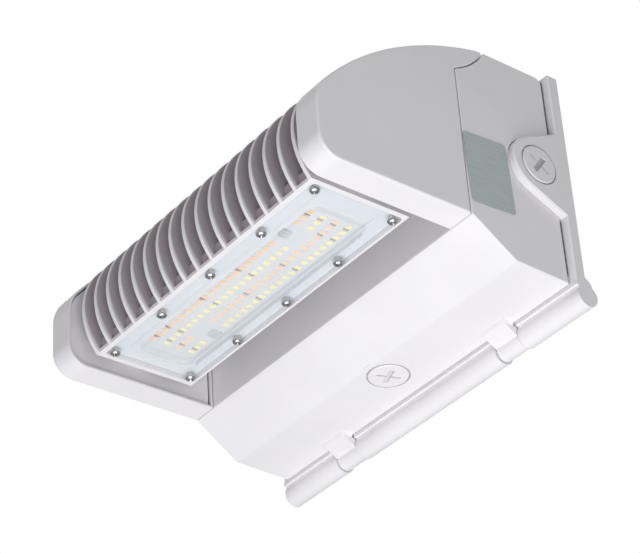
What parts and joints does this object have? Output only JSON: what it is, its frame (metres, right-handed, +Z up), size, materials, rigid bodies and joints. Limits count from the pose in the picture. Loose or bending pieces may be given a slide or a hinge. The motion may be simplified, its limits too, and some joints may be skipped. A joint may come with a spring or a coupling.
{
  "type": "wall pack light",
  "caption": "White outdoor wall light: wall plate with conduit entries, hinged driver housing, and a finned lamp head that tilts between two side arms.",
  "frame": {"origin": "on the wall, at the centre of the wire entry in the mounting plate", "axes": "+Y into the wall, so the light reaches towards -Y; +Z up; +X to the right seen from the front"},
  "size_m": [0.233, 0.161, 0.1387],
  "materials": {
    "white_powder": "fine-textured white powder coat",
    "sink_powder": "white powder coat over cast fins",
    "foam": "closed-cell foam",
    "silicone": "matt silicone",
    "stainless": "bright stainless steel",
    "ground_green": "green passivated steel",
    "pin_steel": "turned steel",
    "nylon": "natural nylon",
    "driver_metal": "pale grey painted steel",
    "board_white": "white solder mask",
    "warm_chip": "orange phosphor under clear resin",
    "cool_chip": "yellow phosphor under clear resin",
    "connector": "grey moulded nylon",
    "clear_lens": "clear polycarbonate"
  },
  "bodies": {
    "mounting_plate": {"back_plate": "white_powder", "wall_gasket": "foam", "wire_grommet": "silicone", "ground_screw": "ground_green", "left_conduit_plug": "white_powder", "right_conduit_plug": "white_powder", "left_hinge_pin": "pin_steel", "right_hinge_pin": "pin_steel", "housing_seal": "silicone"},
    "housing": {"driver_housing": "white_powder", "bottom_plug": "white_powder", "cover_screws": "stainless", "cover_nuts": "stainless", "arm_screws": "stainless", "cap_screws": "stainless", "driver_case": "driver_metal", "driver_screws": "stainless", "left_side_cap": "white_powder", "right_side_cap": "white_powder", "left_arm_plate": "white_powder", "right_arm_plate": "white_powder", "left_pivot_bush": "nylon", "right_pivot_bush": "nylon"},
    "lamp_head": {"heat_sink": "sink_powder", "led_board": "board_white", "warm_leds": "warm_chip", "cool_leds": "cool_chip", "board_connectors": "connector", "lens_gasket": "silicone", "lens": "clear_lens", "lens_screws": "stainless", "left_pivot_shaft": "pin_steel", "right_pivot_shaft": "pin_steel", "left_pivot_washer": "pin_steel", "right_pivot_washer": "pin_steel", "left_pivot_nut": "pin_steel", "right_pivot_nut": "pin_steel"}
  },
  "joints": [
    {"name": "housing_swing", "type": "hinge", "parent": "mounting_plate", "child": "housing", "pos_m": [0, -0.0064, -0.0685], "axis": [1, 0, 0], "range_deg": [0, 90]},
    {"name": "head_tilt", "type": "hinge", "parent": "housing", "child": "lamp_head", "pos_m": [0, -0.1198, -0.0155], "axis": [-1, 0, 0], "range_deg": [0, 90]}
  ]
}
